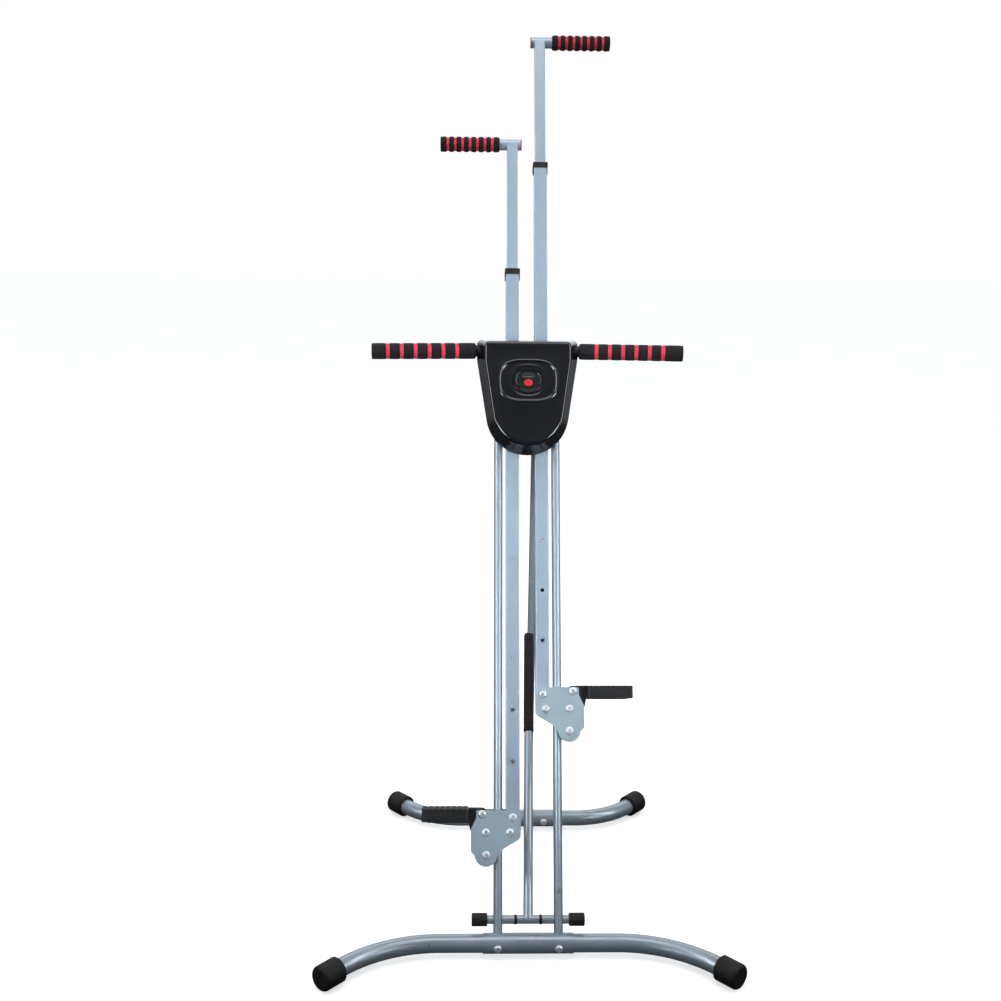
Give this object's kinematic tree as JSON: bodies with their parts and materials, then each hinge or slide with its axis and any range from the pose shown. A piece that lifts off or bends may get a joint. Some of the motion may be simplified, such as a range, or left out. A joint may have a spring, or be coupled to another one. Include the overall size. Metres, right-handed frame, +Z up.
{
  "type": "vertical climber machine",
  "caption": "Vertical climber with lean-back round guide rails, curved tube bases, folding rear stand, cable-linked carriages with pedals and telescoping hand poles, handlebar and console.",
  "frame": {"origin": "middle of the footprint, on the floor", "axes": "+X to the user's right, +Y away from the user, +Z up"},
  "size_m": [0.88, 0.9174, 1.947],
  "materials": {
    "painted_steel": "satin silver-blue powder coat",
    "pole_steel": "satin silver-blue powder coat on square tube",
    "plate_steel": "satin grey powder coat on sheet steel",
    "black_painted_steel": "satin black powder coat",
    "black_rubber": "moulded, matte",
    "black_foam": "closed-cell foam, matte, with thin red rings on the grips",
    "bolt_steel": "bright zinc plate",
    "console_gloss": "glossy black moulding",
    "matte_black_plastic": "fine-grained black moulding",
    "display_lens": "smoked dark window",
    "button_red": "glossy red",
    "roller_nylon": "self-lubricating nylon",
    "cable_steel": "stranded steel cable",
    "tread_plastic": "ribbed black moulding"
  },
  "bodies": {
    "frame": {"front_base_sleeve": "painted_steel", "front_base_arms": "painted_steel", "front_foot_caps": "black_rubber", "front_base_bolts": "bolt_steel", "guide_rails": "painted_steel", "top_bracket": "painted_steel", "pole_guide": "matte_black_plastic", "top_pins": "bolt_steel", "handlebar_tube": "black_painted_steel", "handlebar_grips": "black_foam", "console_back": "matte_black_plastic", "console_face": "console_gloss", "console_bezel": "console_gloss", "console_lens": "display_lens", "console_screws": "bolt_steel", "lower_axle": "painted_steel", "axle_spacers": "painted_steel", "axle_washers": "matte_black_plastic", "cable_wrap": "cable_steel"},
    "brace": {"brace_tube": "painted_steel", "brace_sleeve": "black_foam"},
    "rear_stand": {"rear_strut": "painted_steel", "rear_base_sleeve": "painted_steel", "rear_base_arms": "painted_steel", "rear_foot_caps": "black_rubber", "rear_base_bolts": "bolt_steel"},
    "pulley": {"pulley": "roller_nylon"},
    "console_button": {"console_button": "button_red"},
    "left_carriage": {"left_front_plate": "plate_steel", "left_rear_plate": "plate_steel", "left_carriage_bolts": "bolt_steel", "left_pole": "pole_steel", "left_pole_collar": "matte_black_plastic", "left_cable_run": "cable_steel"},
    "left_pedal": {"left_pedal_bracket": "black_painted_steel", "left_pedal_tread": "tread_plastic"},
    "left_handle": {"left_inner_tube": "pole_steel", "left_handle_grip": "black_foam", "left_handle_plug": "button_red"},
    "left_snap_button": {"left_snap_button": "bolt_steel"},
    "left_knob": {"left_knob": "matte_black_plastic"},
    "left_upper_roller": {"left_upper_roller": "roller_nylon"},
    "left_inner_roller": {"left_inner_roller": "roller_nylon"},
    "left_lower_roller": {"left_lower_roller": "roller_nylon"},
    "right_carriage": {"right_front_plate": "plate_steel", "right_rear_plate": "plate_steel", "right_carriage_bolts": "bolt_steel", "right_pole": "pole_steel", "right_pole_collar": "matte_black_plastic", "right_cable_run": "cable_steel"},
    "right_pedal": {"right_pedal_bracket": "black_painted_steel", "right_pedal_tread": "tread_plastic"},
    "right_handle": {"right_inner_tube": "pole_steel", "right_handle_grip": "black_foam", "right_handle_plug": "button_red"},
    "right_snap_button": {"right_snap_button": "bolt_steel"},
    "right_knob": {"right_knob": "matte_black_plastic"},
    "right_upper_roller": {"right_upper_roller": "roller_nylon"},
    "right_inner_roller": {"right_inner_roller": "roller_nylon"},
    "right_lower_roller": {"right_lower_roller": "roller_nylon"}
  },
  "joints": [
    {"name": "left_slide", "type": "slide", "parent": "frame", "child": "left_carriage", "axis": [0, 0.3691, 0.9294], "range_m": [-0.03, 0.286], "deforming": ["left_cable_run"]},
    {"name": "left_upper_roller_spin", "type": "hinge", "parent": "left_carriage", "child": "left_upper_roller", "pos_m": [-0.0895, -0.23065, 0.2379], "axis": [0, 0.9294, -0.3691], "continuous": true},
    {"name": "left_inner_roller_spin", "type": "hinge", "parent": "left_carriage", "child": "left_inner_roller", "pos_m": [-0.0385, -0.23065, 0.2379], "axis": [0, 0.9294, -0.3691], "continuous": true},
    {"name": "left_lower_roller_spin", "type": "hinge", "parent": "left_carriage", "child": "left_lower_roller", "pos_m": [-0.0895, -0.24781, 0.19468], "axis": [0, 0.9294, -0.3691], "continuous": true},
    {"name": "left_pedal_fold", "type": "hinge", "parent": "left_carriage", "child": "left_pedal", "pos_m": [-0.098, -0.21662, 0.27322], "axis": [0, 0.9294, -0.3691], "range_deg": [0, 90]},
    {"name": "left_handle_slide", "type": "slide", "parent": "left_carriage", "child": "left_handle", "axis": [0, 0.3691, 0.9294], "range_m": [-0.2192, 0.2192]},
    {"name": "left_snap_press", "type": "slide", "parent": "left_handle", "child": "left_snap_button", "axis": [0, 0.9294, -0.3691], "range_m": [0, 0.003], "stiffness_N_per_m": 500},
    {"name": "left_knob_turn", "type": "hinge", "parent": "frame", "child": "left_knob", "pos_m": [-0.102, -0.29708, 0.07061], "axis": [-1, 0, 0], "continuous": true},
    {"name": "right_slide", "type": "slide", "parent": "frame", "child": "right_carriage", "axis": [0, 0.3691, 0.9294], "range_m": [-0.286, 0.03], "deforming": ["right_cable_run"]},
    {"name": "right_upper_roller_spin", "type": "hinge", "parent": "right_carriage", "child": "right_upper_roller", "pos_m": [0.0895, -0.13505, 0.47861], "axis": [0, 0.9294, -0.3691], "continuous": true},
    {"name": "right_inner_roller_spin", "type": "hinge", "parent": "right_carriage", "child": "right_inner_roller", "pos_m": [0.0385, -0.13505, 0.47861], "axis": [0, 0.9294, -0.3691], "continuous": true},
    {"name": "right_lower_roller_spin", "type": "hinge", "parent": "right_carriage", "child": "right_lower_roller", "pos_m": [0.0895, -0.15221, 0.4354], "axis": [0, 0.9294, -0.3691], "continuous": true},
    {"name": "right_pedal_fold", "type": "hinge", "parent": "right_carriage", "child": "right_pedal", "pos_m": [0.098, -0.12102, 0.51393], "axis": [0, -0.9294, 0.3691], "range_deg": [0, 90]},
    {"name": "right_handle_slide", "type": "slide", "parent": "right_carriage", "child": "right_handle", "axis": [0, 0.3691, 0.9294], "range_m": [-0.2192, 0.2192]},
    {"name": "right_snap_press", "type": "slide", "parent": "right_handle", "child": "right_snap_button", "axis": [0, 0.9294, -0.3691], "range_m": [0, 0.003], "stiffness_N_per_m": 500},
    {"name": "right_knob_turn", "type": "hinge", "parent": "frame", "child": "right_knob", "pos_m": [0.102, -0.29708, 0.07061], "axis": [1, 0, 0], "continuous": true},
    {"name": "pulley_spin", "type": "hinge", "parent": "frame", "child": "pulley", "pos_m": [0, 0.15875, 1.14524], "axis": [0, 0.9294, -0.3691], "continuous": true},
    {"name": "console_button_press", "type": "slide", "parent": "frame", "child": "console_button", "axis": [0, 0.9294, -0.3691], "range_m": [0, 0.002], "stiffness_N_per_m": 500},
    {"name": "stand_fold", "type": "hinge", "parent": "frame", "child": "rear_stand", "pos_m": [0.024, 0.15621, 1.04403], "axis": [-1, 0, 0], "range_deg": [0, 11]},
    {"name": "brace_swing", "type": "hinge", "parent": "frame", "child": "brace", "pos_m": [0, -0.29708, 0.07061], "axis": [1, 0, 0], "range_deg": [0, 16.5]}
  ],
  "couplings": [
    {"joint": "left_upper_roller_spin", "follows": "left_slide", "rad_per_m": 63.694},
    {"joint": "left_inner_roller_spin", "follows": "left_slide", "rad_per_m": -63.694},
    {"joint": "left_lower_roller_spin", "follows": "left_slide", "rad_per_m": 63.694},
    {"joint": "right_upper_roller_spin", "follows": "left_slide", "rad_per_m": 63.694},
    {"joint": "right_inner_roller_spin", "follows": "left_slide", "rad_per_m": -63.694},
    {"joint": "right_lower_roller_spin", "follows": "left_slide", "rad_per_m": 63.694},
    {"joint": "right_slide", "follows": "left_slide", "ratio": -1},
    {"joint": "pulley_spin", "follows": "left_slide", "rad_per_m": 30.769},
    {"joint": "brace_swing", "follows": "stand_fold", "ratio": 1.5}
  ]
}
